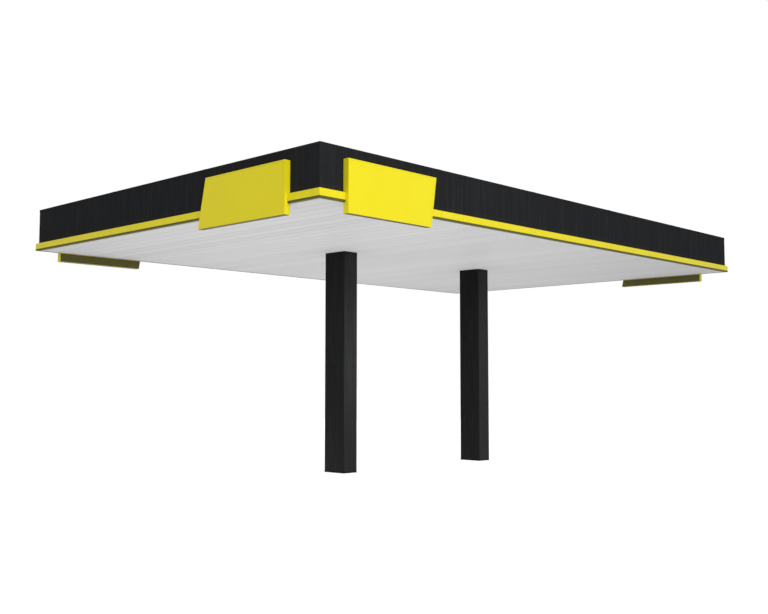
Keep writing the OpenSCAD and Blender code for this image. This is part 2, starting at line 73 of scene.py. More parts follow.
def paint_nodes(names, material):
    for name in names:
        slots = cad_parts[name].data.materials
        slots.clear()
        slots.append(material)


# Zinc phosphate primer on blasted steel: matt, with soft patches where the coat is thicker. The grain of
# the blasting is 0.1 mm, drawn at 6 mm so that it shows
primer = new_material("zinc_phosphate_primer")
at = add_node(primer, "TexCoord", {}, {}).outputs["Object"]
patches = add_node(primer, "TexNoise", {"Scale": 1 / 0.180, "Detail": 3}, {"Vector": at})
tone = add_node(primer, "MixRGB", {"Color1": linear("#7E8488"), "Color2": linear("#989EA2")}, {
    "Fac": patches.outputs["Fac"]})
blast = add_node(primer, "TexNoise", {"Scale": 1 / 0.006, "Detail": 2}, {"Vector": at})
relief = add_node(primer, "Bump", {"Strength": 0.3, "Distance": 0.0004}, {"Height": blast.outputs["Fac"]})
coat = add_node(primer, "BsdfPrincipled", {"Roughness": 0.62, "IOR": 1.5}, {
    "Base Color": tone.outputs["Color"], "Normal": relief.outputs["Normal"]})
add_node(primer, "OutputMaterial", {}, {"Surface": coat.outputs["BSDF"]})
paint_nodes([
    "left_base_plate", "right_base_plate", "left_column", "right_column", "spine_beam", "cross_beams",
    "front_fascia_frame", "back_fascia_frame", "left_fascia_frame", "right_fascia_frame"], primer)

# Column casings
# Each column is boxed in by two halves of folded aluminium sheet, powder coated black in a satin finish.
# They are screwed to steel rings, so the sheet lies a little uneven between them.
splash_h = 0.45

# Satin black powder coat: an orange peel of 1 mm, drawn at 12 mm so that it shows, over a slow sheet
# wave, with faint rain runs down it and road dust thrown up over the lowest part
casing_black = new_material("satin_black_powder_coat_casing")
at = add_node(casing_black, "TexCoord", {}, {}).outputs["Object"]
wave = add_node(casing_black, "TexNoise", {"Scale": 1 / 0.900, "Detail": 1}, {"Vector": at})
peel = add_node(casing_black, "TexNoise", {"Scale": 1 / 0.012, "Detail": 2}, {"Vector": at})
waved = add_node(casing_black, "Bump", {"Strength": 0.6, "Distance": 0.004}, {
    "Height": wave.outputs["Fac"]})
relief = add_node(casing_black, "Bump", {"Strength": 0.15, "Distance": 0.0004}, {
    "Height": peel.outputs["Fac"], "Normal": waved.outputs["Normal"]})
height = add_node(casing_black, "SeparateXYZ", {}, {"Vector": at}).outputs["Z"]
near_ground = add_node(casing_black, "MapRange", {
    "From Min": splash_h, "From Max": 0.0, "To Max": 0.01}, {"Value": height})
spots = add_node(casing_black, "TexNoise", {"Scale": 1 / 0.060, "Detail": 5, "Roughness": 0.7}, {
    "Vector": at})
splash = add_node(casing_black, "Math", {"operation": "MULTIPLY"}, {
    0: near_ground.outputs["Result"], 1: spots.outputs["Fac"]})
drawn = add_node(casing_black, "Mapping", {"Scale": (1 / 0.035, 1 / 0.035, 1 / 1.400)}, {"Vector": at})
runs = add_node(casing_black, "TexNoise", {"Scale": 1, "Detail": 3}, {"Vector": drawn.outputs["Vector"]})
film = add_node(casing_black, "MapRange", {"From Min": 0.5, "From Max": 0.8, "To Max": 0.07}, {
    "Value": runs.outputs["Fac"]})
dust = add_node(casing_black, "Math", {"operation": "ADD"}, {
    0: film.outputs["Result"], 1: splash.outputs["Value"]})
tone = add_node(casing_black, "MixRGB", {"Color1": linear("#121315"), "Color2": linear("#77726A")}, {
    "Fac": dust.outputs["Value"]})
sheen = add_node(casing_black, "MapRange", {"To Min": 0.26, "To Max": 0.40}, {
    "Value": spots.outputs["Fac"]})
coat = add_node(casing_black, "BsdfPrincipled", {"IOR": 1.5, "Specular IOR Level": 0.06}, {
    "Base Color": tone.outputs["Color"], "Roughness": sheen.outputs["Result"],
    "Normal": relief.outputs["Normal"]})
add_node(casing_black, "OutputMaterial", {}, {"Surface": coat.outputs["BSDF"]})
paint_nodes([
    "left_casing_front", "left_casing_back", "right_casing_front", "right_casing_back"], casing_black)

# EPDM rubber seals
# The joints between black sheets are closed with extruded rubber strips, which sit a little back in them,
# and a strip with a sloping back closes the foot of each casing. EPDM is a matt black that dust greys.
rubber = new_material("extruded_epdm_rubber")
at = add_node(rubber, "TexCoord", {}, {}).outputs["Object"]
bloom = add_node(rubber, "TexNoise", {"Scale": 1 / 0.040, "Detail": 4}, {"Vector": at})
tone = add_node(rubber, "MixRGB", {"Color1": linear("#0C0C0D"), "Color2": linear("#232325")}, {
    "Fac": bloom.outputs["Fac"]})
strip = add_node(rubber, "BsdfPrincipled", {"Roughness": 0.8, "Specular IOR Level": 0.15}, {
    "Base Color": tone.outputs["Color"]})
add_node(rubber, "OutputMaterial", {}, {"Surface": strip.outputs["BSDF"]})


def bar_between(low, high):
    """A bar that fills the box between two corners, selected all over, in object mode."""
    bpy.ops.object.select_all(action="DESELECT")
    low, high = Vector(low), Vector(high)
    bpy.ops.mesh.primitive_cube_add(size=1, location=(low + high) / 2, scale=high - low)
    return bpy.context.object


def pick(piece, kind, test):
    """Goes into edit mode with the faces or edges selected that pass a test. It is given a face's centre
    and normal, or an edge's two ends."""
    bpy.ops.object.mode_set(mode="EDIT")
    bpy.ops.mesh.select_mode(type=kind)
    bpy.ops.mesh.select_all(action="DESELECT")
    bpy.ops.object.mode_set(mode="OBJECT")
    mesh = piece.data
    to_world = piece.matrix_world
    if kind == "FACE":
        for face in mesh.polygons:
            face.select = test(to_world @ face.center, face.normal)
    else:
        for edge in mesh.edges:
            ends = [to_world @ mesh.vertices[i].co for i in edge.vertices]
            edge.select = test(*ends)
    bpy.ops.object.mode_set(mode="EDIT")


def join(pieces):
    """Joins finished lengths of one piece into the first of them."""
    bpy.ops.object.select_all(action="DESELECT")
    for piece in pieces:
        piece.select_set(True)
    bpy.context.view_layer.objects.active = pieces[0]
    bpy.ops.object.join()
    return bpy.context.object


def fit(piece, name, material):
    """Puts a finished piece's place into its mesh, and fixes it to the canopy."""
    if bpy.context.mode != "OBJECT":
        bpy.ops.object.mode_set(mode="OBJECT")
    bpy.ops.object.select_all(action="DESELECT")
    piece.select_set(True)
    bpy.context.view_layer.objects.active = piece
    bpy.ops.object.transform_apply(location=True, rotation=True, scale=True)
    piece.name = piece.data.name = name
    piece.data.materials.clear()
    piece.data.materials.append(material)
    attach(piece, "root")


def apply_modifier(piece, kind, settings):
    if bpy.context.mode != "OBJECT":
        bpy.ops.object.mode_set(mode="OBJECT")
    modifier = piece.modifiers.new(kind.lower(), kind)
    for key, value in settings.items():
        setattr(modifier, key, value)
    bpy.context.view_layer.objects.active = piece
    bpy.ops.object.modifier_apply(modifier=modifier.name)


def flat_frame(outer_low, outer_high, z, leg):
    """A flat rectangular frame of sheet at one height, mitred at its corners, in edit mode."""
    bpy.ops.object.select_all(action="DESELECT")
    size = (outer_high[0] - outer_low[0], outer_high[1] - outer_low[1])
    middle = ((outer_high[0] + outer_low[0]) / 2, (outer_high[1] + outer_low[1]) / 2, z)
    bpy.ops.mesh.primitive_plane_add(size=1, location=middle)
    bpy.ops.transform.resize(value=(size[0], size[1], 1))
    bpy.ops.object.transform_apply(location=False, rotation=False, scale=True)
    piece = bpy.context.object
    pick(piece, "FACE", lambda centre, normal: True)
    bpy.ops.mesh.inset(thickness=leg)
    bpy.ops.mesh.delete(type="FACE")
    return piece


def rubber_strip(low, high, outward):
    """A strip in a joint, rounded along the face that looks outward."""
    piece = bar_between(low, high)
    pick(piece, "FACE", lambda centre, normal: normal.dot(outward) > 0.9)
    narrow = min(Vector(high)[i] - Vector(low)[i] for i in range(3) if abs(outward[i]) < 0.5)
    crown_in, crown_rise = narrow * 0.28, narrow * 0.25
    bpy.ops.mesh.inset(thickness=crown_in)
    bpy.ops.transform.translate(value=outward * crown_rise)
    bpy.ops.object.mode_set(mode="OBJECT")
    return piece


# A strip stands in the open joint up each flank of a casing, 1.5 mm back, and one goes round its foot
strip_back, strip_depth, strip_clear = 0.0015, 0.0015, 0.0002
strip_foot, strip_below_top = 0.002, 0.040
foot_strip_w, foot_strip_h, past_casing = 0.007, 0.010, 0.001
foot_slope = foot_strip_w * 0.8
for side in ("left", "right"):
    front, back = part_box(side + "_casing_front"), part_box(side + "_casing_back")
    joint_lo, joint_hi = front[1].y + strip_clear, back[0].y - strip_clear
    strip_top = front[1].z - strip_below_top
    strips = []
    for flank_x, out in ((front[0].x, -1), (front[1].x, 1)):
        reach = sorted((flank_x - out * strip_back, flank_x - out * (strip_back + strip_depth)))
        strips.append(rubber_strip((reach[0], joint_lo, strip_foot), (reach[1], joint_hi, strip_top),
                                   Vector((out, 0, 0))))
    foot = flat_frame((front[0].x - foot_strip_w, front[0].y - foot_strip_w),
                      (front[1].x + foot_strip_w, back[1].y + foot_strip_w), foot_strip_h, foot_strip_w)
    apply_modifier(foot, "SOLIDIFY", {"thickness": foot_strip_h, "offset": -1})
    pick(foot, "EDGE", lambda a, b: min(a.z, b.z) > foot_strip_h / 2 and (
        max(a.x, b.x) < front[0].x - past_casing or min(a.x, b.x) > front[1].x + past_casing
        or max(a.y, b.y) < front[0].y - past_casing or min(a.y, b.y) > back[1].y + past_casing))
    bpy.ops.mesh.bevel(offset=foot_slope, segments=2)
    bpy.ops.object.mode_set(mode="OBJECT")
    fit(join(strips + [foot]), side + "_casing_seals", rubber)

# Casing screws
# Pan head screws of blackened stainless steel, 12 mm across, hold each half of a casing to its three
# rings. The black oxide on turned steel is a dark grey that still carries a soft ring of light.


def turned_steel(name, dark, light):
    """Turned steel between two greys, with the grain of the tool drawn at 4 mm so that it shows."""
    steel = new_material(name)
    at = add_node(steel, "TexCoord", {}, {}).outputs["Object"]
    turned = add_node(steel, "TexNoise", {"Scale": 1 / 0.004, "Detail": 2}, {"Vector": at})
    tone = add_node(steel, "MixRGB", {"Color1": linear(dark), "Color2": linear(light)}, {
        "Fac": turned.outputs["Fac"]})
    metal = add_node(steel, "BsdfPrincipled", {"Metallic": 1, "Roughness": 0.34}, {
        "Base Color": tone.outputs["Color"]})
    add_node(steel, "OutputMaterial", {}, {"Surface": metal.outputs["BSDF"]})
    return steel


blackened = turned_steel("blackened_stainless_steel", "#2C2D2F", "#434547")


def round_head(sides, radius, height, crown, rim, hollow):
    """A head that stands on the ground at the origin, with a round edge and a hollow in its crown. The
    crown's width, the rim round the hollow and the hollow's depth are shares of its radius and height."""
    bpy.ops.object.select_all(action="DESELECT")
    bpy.ops.mesh.primitive_cylinder_add(vertices=sides, radius=radius, depth=height,
                                        location=(0, 0, height / 2))
    head = bpy.context.object
    pick(head, "FACE", lambda centre, normal: normal.z > 0.9)
    bpy.ops.transform.resize(value=(crown, crown, 1))
    bpy.ops.mesh.inset(thickness=radius * rim)
    bpy.ops.mesh.extrude_region_move(TRANSFORM_OT_translate={"value": (0, 0, -height * hollow)})
    bpy.ops.object.mode_set(mode="OBJECT")
    return head


def pan_head(radius, height):
    """A screw head with a hollow for the key."""
    return round_head(12, radius, height, crown=0.78, rim=0.38, hollow=0.5)


def set_fixings(name, model, places, material):
    """Copies a fixing to each place, turned so that it stands out along the direction given there."""
    copies = []
    for place, outward in places:
        copy = model.copy()
        copy.data = model.data.copy()
        bpy.context.collection.objects.link(copy)
        turn = Vector((0, 0, 1)).rotation_difference(Vector(outward))
        copy.matrix_world = Matrix.Translation(place) @ turn.to_matrix().to_4x4() @ model.matrix_world
        copies.append(copy)
    bpy.data.objects.remove(model)
    fit(join(copies), name, material)


clear_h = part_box("middle_soffit")[0].z
ring_count, ring_t = 3, 0.006
ring_levels = [clear_h * (i + 0.5) / ring_count + ring_t / 2 for i in range(ring_count)]
screw_in, screw_off_middle = 0.050, 0.120
for side in ("left", "right"):
    low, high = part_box(side + "_casing_front")[0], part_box(side + "_casing_back")[1]
    middle_x = (low.x + high.x) / 2
    places = []
    for z in ring_levels:
        for y in (low.y + screw_in, -screw_in, screw_in, high.y - screw_in):
            places += [((low.x, y, z), (-1, 0, 0)), ((high.x, y, z), (1, 0, 0))]
        for x in (middle_x - screw_off_middle, middle_x + screw_off_middle):
            places += [((x, low.y, z), (0, -1, 0)), ((x, high.y, z), (0, 1, 0))]
    set_fixings(side + "_casing_screws", pan_head(radius=0.006, height=0.003), places, blackened)

# Galvanised parts
# Purlins, soffit rails, casing rings, downpipes, gutter and flashings are hot dip galvanised steel. The
# zinc cools in flat crystals, so neighbouring flakes catch the light differently.


def zinc_flakes(material, at, dark, light, contrast):
    """Crystals of zinc about 30 mm across, over clouds of duller zinc. It gives the flakes and the tone."""
    spangle = add_node(material, "TexVoronoi", {"Scale": 1 / 0.030}, {"Vector": at})
    flake = add_node(material, "SeparateXYZ", {}, {"Vector": spangle.outputs["Color"]}).outputs["X"]
    bloom = add_node(material, "TexNoise", {"Scale": 1 / 0.700, "Detail": 5, "Roughness": 0.65}, {
        "Vector": at})
    dull = add_node(material, "MixRGB", {"Color1": linear(dark), "Color2": linear(light)}, {
        "Fac": bloom.outputs["Fac"]})
    tone = add_node(material, "MixRGB", {"blend_type": "OVERLAY", "Fac": contrast}, {
        "Color1": dull.outputs["Color"], "Color2": flake})
    return flake, tone


galvanised = new_material("hot_dip_galvanised_steel")
at = add_node(galvanised, "TexCoord", {}, {}).outputs["Object"]
flake, tone = zinc_flakes(galvanised, at, "#A2A8AC", "#BFC4C6", contrast=0.25)
rough = add_node(galvanised, "MapRange", {"To Min": 0.38, "To Max": 0.58}, {"Value": flake})
metal = add_node(galvanised, "BsdfPrincipled", {"Metallic": 0.8}, {
    "Base Color": tone.outputs["Color"], "Roughness": rough.outputs["Result"]})
add_node(galvanised, "OutputMaterial", {}, {"Surface": metal.outputs["BSDF"]})
paint_nodes([
    "left_casing_rings", "right_casing_rings", "left_downpipe", "right_downpipe", "front_purlins",
    "back_purlins", "roof_gutter", "side_flashings", "end_flashings", "soffit_grid"], galvanised)

# Steel bolts
# Four M30 nuts with washers hold each base plate on its anchor bolts, and four M20 bolts hold the spine
# beam on each cap plate. They are galvanised as the sheets are.


def bolt_end(across, nut_h, stud_d, stud_h):
    """A nut on a washer, with the end of its bolt, that stands on the ground at the origin."""
    bpy.ops.object.select_all(action="DESELECT")
    washer_r, washer_h = across * 0.92, nut_h * 0.2
    crown_in, crown_rise = across * 0.08, nut_h * 0.06
    bpy.ops.mesh.primitive_cylinder_add(vertices=20, radius=washer_r, depth=washer_h,
                                        location=(0, 0, washer_h / 2))
    washer = bpy.context.object
    bpy.ops.mesh.primitive_cylinder_add(vertices=6, radius=across / math.sqrt(3), depth=nut_h,
                                        location=(0, 0, washer_h + nut_h / 2))
    nut = bpy.context.object
    pick(nut, "FACE", lambda centre, normal: normal.z > 0.9)
    bpy.ops.mesh.inset(thickness=crown_in)
    bpy.ops.transform.translate(value=(0, 0, crown_rise))
    bpy.ops.object.mode_set(mode="OBJECT")
    bpy.ops.object.select_all(action="DESELECT")
    bpy.ops.mesh.primitive_cylinder_add(vertices=16, radius=stud_d / 2, depth=stud_h,
                                        location=(0, 0, washer_h + nut_h + stud_h / 2))
    stud = bpy.context.object
    pick(stud, "FACE", lambda centre, normal: normal.z > 0.9)
    bpy.ops.mesh.bevel(offset=stud_d * 0.08, segments=1)
    bpy.ops.object.mode_set(mode="OBJECT")
    return join([washer, nut, stud])


anchor_x, anchor_y, cap_bolt_x, cap_bolt_y = 0.260, 0.470, 0.330, 0.090
spine_flange_t = 0.011
flange_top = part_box("spine_beam")[0].z + spine_flange_t
for side in ("left", "right"):
    low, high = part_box(side + "_base_plate")
    x = (low.x + high.x) / 2
    places = [((x + i * anchor_x / 2, j * anchor_y / 2, high.z), (0, 0, 1))
              for i in (-1, 1) for j in (-1, 1)]
    anchor_nut = bolt_end(across=0.046, nut_h=0.024, stud_d=0.030, stud_h=0.024)
    set_fixings(side + "_anchor_nuts", anchor_nut, places, galvanised)
    places = [((x + i * cap_bolt_x / 2, j * cap_bolt_y / 2, flange_top), (0, 0, 1))
              for i in (-1, 1) for j in (-1, 1)]
    cap_bolt = bolt_end(across=0.030, nut_h=0.016, stud_d=0.020, stud_h=0.012)
    set_fixings(side + "_cap_bolts", cap_bolt, places, galvanised)

# Roof sheets
# The ribbed sheets are the same galvanised steel. Rain carries dust down to the gutter and leaves it
# there in streaks that follow the fall, so the sheets are dullest along their low edge.
roof_lo, roof_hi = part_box("front_roof_sheet")[0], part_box("back_roof_sheet")[1]
rib_count, gutter_edge = 59, 0.25
rib_step = (roof_hi.x - roof_lo.x) / rib_count
weathered = new_material("weathered_galvanised_roof_sheet")
at = add_node(weathered, "TexCoord", {}, {}).outputs["Object"]
bright = zinc_flakes(weathered, at, "#9EA4A8", "#BABFC1", contrast=0.22)[1]
drawn = add_node(weathered, "Mapping", {"Scale": (1 / 0.050, 1 / 1.600, 1)}, {"Vector": at})
runs = add_node(weathered, "TexNoise", {"Scale": 1, "Detail": 4, "Roughness": 0.6}, {
    "Vector": drawn.outputs["Vector"]})
from_middle = add_node(weathered, "Math", {"operation": "ABSOLUTE"}, {
    0: add_node(weathered, "SeparateXYZ", {}, {"Vector": at}).outputs["Y"]})
near_gutter = add_node(weathered, "MapRange", {
    "From Min": roof_hi.y, "From Max": gutter_edge, "To Min": 0.12, "To Max": 0.75}, {
    "Value": from_middle.outputs["Value"]})
silt = add_node(weathered, "MapRange", {"From Min": 0.38, "From Max": 0.72}, {
    "Value": runs.outputs["Fac"]})
dust = add_node(weathered, "Math", {"operation": "MULTIPLY"}, {
    0: silt.outputs["Result"], 1: near_gutter.outputs["Result"]})
tone = add_node(weathered, "MixRGB", {"Color2": linear("#8C867A")}, {
    "Fac": dust.outputs["Value"], "Color1": bright.outputs["Color"]})
rough = add_node(weathered, "MapRange", {"To Min": 0.42, "To Max": 0.85}, {"Value": dust.outputs["Value"]})
shine = add_node(weathered, "MapRange", {"To Min": 0.8, "To Max": 0.2}, {"Value": dust.outputs["Value"]})
metal = add_node(weathered, "BsdfPrincipled", {}, {
    "Base Color": tone.outputs["Color"], "Roughness": rough.outputs["Result"],
    "Metallic": shine.outputs["Result"]})
add_node(weathered, "OutputMaterial", {}, {"Surface": metal.outputs["BSDF"]})
paint_nodes(["front_roof_sheet", "back_roof_sheet"], weathered)

# Roof screws
# Hexagon screws with a sealing washer go through the crown of every second rib into each purlin.
# They are turned stainless steel, a fine even grey.
stainless = turned_steel("turned_stainless_steel", "#8E9194", "#B3B6B9")


def roof_screw(across, head_h, washer_d, washer_h):
    """A hexagon head on a washer with a sloping edge, that stands on the ground at the origin."""
    bpy.ops.object.select_all(action="DESELECT")
    bpy.ops.mesh.primitive_cylinder_add(vertices=12, radius=washer_d / 2, depth=washer_h,
                                        location=(0, 0, washer_h / 2))
    washer = bpy.context.object
    crown = 0.7
    pick(washer, "FACE", lambda centre, normal: normal.z > 0.9)
    bpy.ops.transform.resize(value=(crown, crown, 1))
    bpy.ops.object.mode_set(mode="OBJECT")
    bpy.ops.object.select_all(action="DESELECT")
    bpy.ops.mesh.primitive_cylinder_add(vertices=6, radius=across / math.sqrt(3), depth=head_h,
                                        location=(0, 0, washer_h + head_h / 2))
    return join([washer, bpy.context.object])


fall, pressed_in = math.radians(1), 0.0002
crown_level = roof_hi.z - roof_hi.y * math.tan(fall)
purlin_lo, purlin_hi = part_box("back_purlins")
purlin_w, purlin_count = 0.050, 4
purlin_ys = [purlin_lo.y + purlin_w / 2 + i * (purlin_hi.y - purlin_w - purlin_lo.y) / (purlin_count - 1)
             for i in range(purlin_count)]
places = []
for y in purlin_ys:
    for half in (-1, 1):
        for i in range(1, rib_count, 2):
            x = roof_lo.x + (i + 0.5) * rib_step
            places.append(((x, half * y, crown_level + y * math.tan(fall) - pressed_in),
                           (0, -half * math.sin(fall), math.cos(fall))))
hexagon_screw = roof_screw(across=0.008, head_h=0.006, washer_d=0.019, washer_h=0.003)
set_fixings("roof_screws", hexagon_screw, places, stainless)

# Leaf guards
# A domed grating of cast aluminium stands over each outlet in the gutter and keeps leaves out of it. Sand
# casting leaves the metal pale, dull and grainy, and the grain is drawn at 3 mm so that it shows.
cast_grey = new_material("sand_cast_aluminium")
at = add_node(cast_grey, "TexCoord", {}, {}).outputs["Object"]
grain = add_node(cast_grey, "TexNoise", {"Scale": 1 / 0.003, "Detail": 3}, {"Vector": at})
tone = add_node(cast_grey, "MixRGB", {"Color1": linear("#84878A"), "Color2": linear("#A3A6A8")}, {
    "Fac": grain.outputs["Fac"]})
relief = add_node(cast_grey, "Bump", {"Strength": 0.5, "Distance": 0.0006}, {
    "Height": grain.outputs["Fac"]})
metal = add_node(cast_grey, "BsdfPrincipled", {"Metallic": 0.9, "Roughness": 0.55}, {
    "Base Color": tone.outputs["Color"], "Normal": relief.outputs["Normal"]})
add_node(cast_grey, "OutputMaterial", {}, {"Surface": metal.outputs["BSDF"]})
gutter_t, guard_r, guard_bar = 0.003, 0.052, 0.004
guard_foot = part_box("roof_gutter")[0].z + gutter_t + guard_bar / 2
guards = []
for side in ("left", "right"):
    low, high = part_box(side + "_downpipe")
    bpy.ops.object.select_all(action="DESELECT")
    bpy.ops.mesh.primitive_uv_sphere_add(
        segments=12, ring_count=8, radius=guard_r,
        location=((low.x + high.x) / 2, (low.y + high.y) / 2, guard_foot))
    guard = bpy.context.object
    bpy.ops.object.mode_set(mode="EDIT")
    bpy.ops.mesh.select_all(action="SELECT")
    bpy.ops.mesh.bisect(plane_co=guard.location, plane_no=(0, 0, 1), clear_inner=True)
    bpy.ops.object.mode_set(mode="OBJECT")
    apply_modifier(guard, "WIREFRAME", {"thickness": guard_bar, "use_even_offset": False})
    guards.append(guard)
fit(join(guards), "gutter_leaf_guards", cast_grey)

# Soffit
# Planks of pale grey coil coated steel hang from rails. The matt coat mirrors nothing. Each plank comes
# from its own coil, so neighbours differ by a shade, and dust settles along the grooves between them.
soffit_lo, soffit_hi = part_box("left_soffit")[0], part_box("right_soffit")[1]
bay_joint = (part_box("left_soffit")[1].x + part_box("middle_soffit")[0].x) / 2
planks_in_bay = 16
soffit_grey = new_material("coil_coated_steel_soffit")
at = add_node(soffit_grey, "TexCoord", {}, {}).outputs["Object"]
along = add_node(soffit_grey, "SeparateXYZ", {}, {"Vector": at}).outputs["X"]
off_middle = add_node(soffit_grey, "Math", {"operation": "ABSOLUTE"}, {0: along})
inner_planks = add_node(soffit_grey, "MapRange", {"From Max": -bay_joint, "To Max": planks_in_bay / 2}, {
    "Value": off_middle.outputs["Value"]})
outer_planks = add_node(soffit_grey, "MapRange", {
    "From Min": -bay_joint, "From Max": soffit_hi.x, "To Max": planks_in_bay}, {
    "Value": off_middle.outputs["Value"]})
plank = add_node(soffit_grey, "Math", {"operation": "ADD"}, {
    0: inner_planks.outputs["Result"], 1: outer_planks.outputs["Result"]})
number = add_node(soffit_grey, "Math", {"operation": "FLOOR"}, {0: plank.outputs["Value"]})
half = add_node(soffit_grey, "Math", {"operation": "SIGN"}, {0: along})
key = add_node(soffit_grey, "CombineXYZ", {}, {"X": number.outputs["Value"], "Y": half.outputs["Value"]})
coil = add_node(soffit_grey, "TexWhiteNoise", {}, {"Vector": key.outputs["Vector"]})
tone = add_node(soffit_grey, "MixRGB", {"Color1": linear("#D7D6D8"), "Color2": linear("#DFDEDF")}, {
    "Fac": coil.outputs["Value"]})
across = add_node(soffit_grey, "Math", {"operation": "PINGPONG", 1: 0.5}, {0: plank.outputs["Value"]})
edge = add_node(soffit_grey, "MapRange", {"From Min": 0.09, "From Max": 0.0, "To Max": 0.30}, {
    "Value": across.outputs["Value"]})
specks = add_node(soffit_grey, "TexNoise", {"Scale": 1 / 0.250, "Detail": 5, "Roughness": 0.7}, {
    "Vector": at})
dust = add_node(soffit_grey, "Math", {"operation": "MULTIPLY"}, {
    0: edge.outputs["Result"], 1: specks.outputs["Fac"]})
tone = add_node(soffit_grey, "MixRGB", {"Color2": linear("#A09C94")}, {
    "Fac": dust.outputs["Value"], "Color1": tone.outputs["Color"]})
wave = add_node(soffit_grey, "TexNoise", {"Scale": 1 / 0.800, "Detail": 1}, {"Vector": at})
relief = add_node(soffit_grey, "Bump", {"Strength": 0.4, "Distance": 0.003}, {
    "Height": wave.outputs["Fac"]})
coat = add_node(soffit_grey, "BsdfPrincipled", {"Roughness": 0.6, "IOR": 1.5, "Specular IOR Level": 0.03}, {
    "Base Color": tone.outputs["Color"], "Normal": relief.outputs["Normal"]})
add_node(soffit_grey, "OutputMaterial", {}, {"Surface": coat.outputs["BSDF"]})
paint_nodes(["left_soffit", "middle_soffit", "right_soffit"], soffit_grey)

# An angle of the same sheet goes round the edge of the soffit, under the ends of the planks, a collar
# round each casing, and a flat strip over each joint between two bays. All are 1.5 mm thick
angle_t = 0.0015


def cover_frame(name, low, high, beyond, leg):
    """A mitred frame of sheet against the soffit, whose outer edge lies beyond a box on all four sides."""
    cover = flat_frame((low.x - beyond, low.y - beyond), (high.x + beyond, high.y + beyond), clear_h, leg)
    apply_modifier(cover, "SOLIDIFY", {"thickness": angle_t, "offset": -1})
    apply_modifier(cover, "BEVEL", {"width": 0.0004, "segments": 1})
    fit(cover, name, soffit_grey)


angle_out, angle_in = 0.060, 0.022
cover_frame("soffit_edge_angle", soffit_lo, soffit_hi, angle_out, angle_out + angle_in)

collar_leg, collar_gap = 0.034, 0.001
strip_half, strip_edge, strip_fold = 0.024, 0.008, angle_t * 0.3
for side, strip_x in (("left", bay_joint), ("right", -bay_joint)):
    low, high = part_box(side + "_casing_front")[0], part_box(side + "_casing_back")[1]
    cover_frame(side + "_casing_collar", low, high, collar_leg, collar_leg - collar_gap)
    strips = []
    for y0, y1 in ((soffit_lo.y + angle_in, low.y - collar_leg),
                   (high.y + collar_leg, soffit_hi.y - angle_in)):
        cover = bar_between((strip_x - strip_half, y0, clear_h - angle_t),
                            (strip_x + strip_half, y1, clear_h))
        pick(cover, "FACE", lambda centre, normal: normal.z < -0.9)
        bpy.ops.mesh.inset(thickness=strip_edge)
        bpy.ops.transform.translate(value=(0, 0, strip_fold))
        bpy.ops.object.mode_set(mode="OBJECT")
        strips.append(cover)
    fit(join(strips), side + "_joint_strips", soffit_grey)

# Fascia and coping
# The fascia is a row of folded aluminium cassettes and the coping a folded cap, both powder coated black.
# Rain washes dust down from the coping and leaves faint upright streaks.
fascia_lo, fascia_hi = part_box("front_fascia")[0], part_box("back_fascia")[1]
dusty_foot = 0.12
fascia_black = new_material("satin_black_powder_coat_fascia")
at = add_node(fascia_black, "TexCoord", {}, {}).outputs["Object"]
wave = add_node(fascia_black, "TexNoise", {"Scale": 1 / 0.900, "Detail": 1}, {"Vector": at})
relief = add_node(fascia_black, "Bump", {"Strength": 0.5, "Distance": 0.003}, {
    "Height": wave.outputs["Fac"]})
drawn = add_node(fascia_black, "Mapping", {"Scale": (1 / 0.050, 1 / 0.050, 1 / 0.900)}, {"Vector": at})
streaks = add_node(fascia_black, "TexNoise", {"Scale": 1, "Detail": 4}, {
    "Vector": drawn.outputs["Vector"]})
film = add_node(fascia_black, "MapRange", {"From Min": 0.45, "From Max": 0.75, "To Max": 0.05}, {
    "Value": streaks.outputs["Fac"]})
height = add_node(fascia_black, "SeparateXYZ", {}, {"Vector": at}).outputs["Z"]
foot = add_node(fascia_black, "MapRange", {
    "From Min": fascia_lo.z + dusty_foot, "From Max": fascia_lo.z, "To Max": 0.04}, {"Value": height})
dust = add_node(fascia_black, "Math", {"operation": "ADD"}, {
    0: film.outputs["Result"], 1: foot.outputs["Result"]})
tone = add_node(fascia_black, "MixRGB", {"Color1": linear("#262729"), "Color2": linear("#77726A")}, {
    "Fac": dust.outputs["Value"]})
coat = add_node(fascia_black, "BsdfPrincipled", {
    "Roughness": 0.5, "IOR": 1.5, "Specular IOR Level": 0.003}, {
    "Base Color": tone.outputs["Color"], "Normal": relief.outputs["Normal"]})
add_node(fascia_black, "OutputMaterial", {}, {"Surface": coat.outputs["BSDF"]})
paint_nodes([side + part for side in ("front", "back", "left", "right") for part in ("_fascia", "_coping")],
            fascia_black)

# Rubber seals close the 6 mm joints between the cassettes, 6 mm back from their faces
long_count, short_count = 5, 3
long_joints = [fascia_lo.x + (fascia_hi.x - fascia_lo.x) * i / long_count for i in range(1, long_count)]
short_joints = [fascia_lo.y + (fascia_hi.y - fascia_lo.y) * i / short_count for i in range(1, short_count)]
seal_half, seal_back, seal_depth, seal_short = 0.0028, 0.006, 0.010, 0.001
seal_foot, seal_top = fascia_lo.z + seal_short, fascia_hi.z - seal_short
strips = []
for out, face_y in ((-1, fascia_lo.y), (1, fascia_hi.y)):
    depth = sorted((face_y - out * seal_back, face_y - out * (seal_back + seal_depth)))
    for x in long_joints:
        strips.append(rubber_strip((x - seal_half, depth[0], seal_foot),
                                   (x + seal_half, depth[1], seal_top), Vector((0, out, 0))))
for out, face_x in ((-1, fascia_lo.x), (1, fascia_hi.x)):
    depth = sorted((face_x - out * seal_back, face_x - out * (seal_back + seal_depth)))
    for y in short_joints:
        strips.append(rubber_strip((depth[0], y - seal_half, seal_foot),
                                   (depth[1], y + seal_half, seal_top), Vector((out, 0, 0))))
fit(join(strips), "fascia_seals", rubber)

# Rivets
# Two blind rivets on each leg hold a strap over a joint in the coping, painted with it, and a row of
# plain ones holds the flashings to the inner leg of the coping.


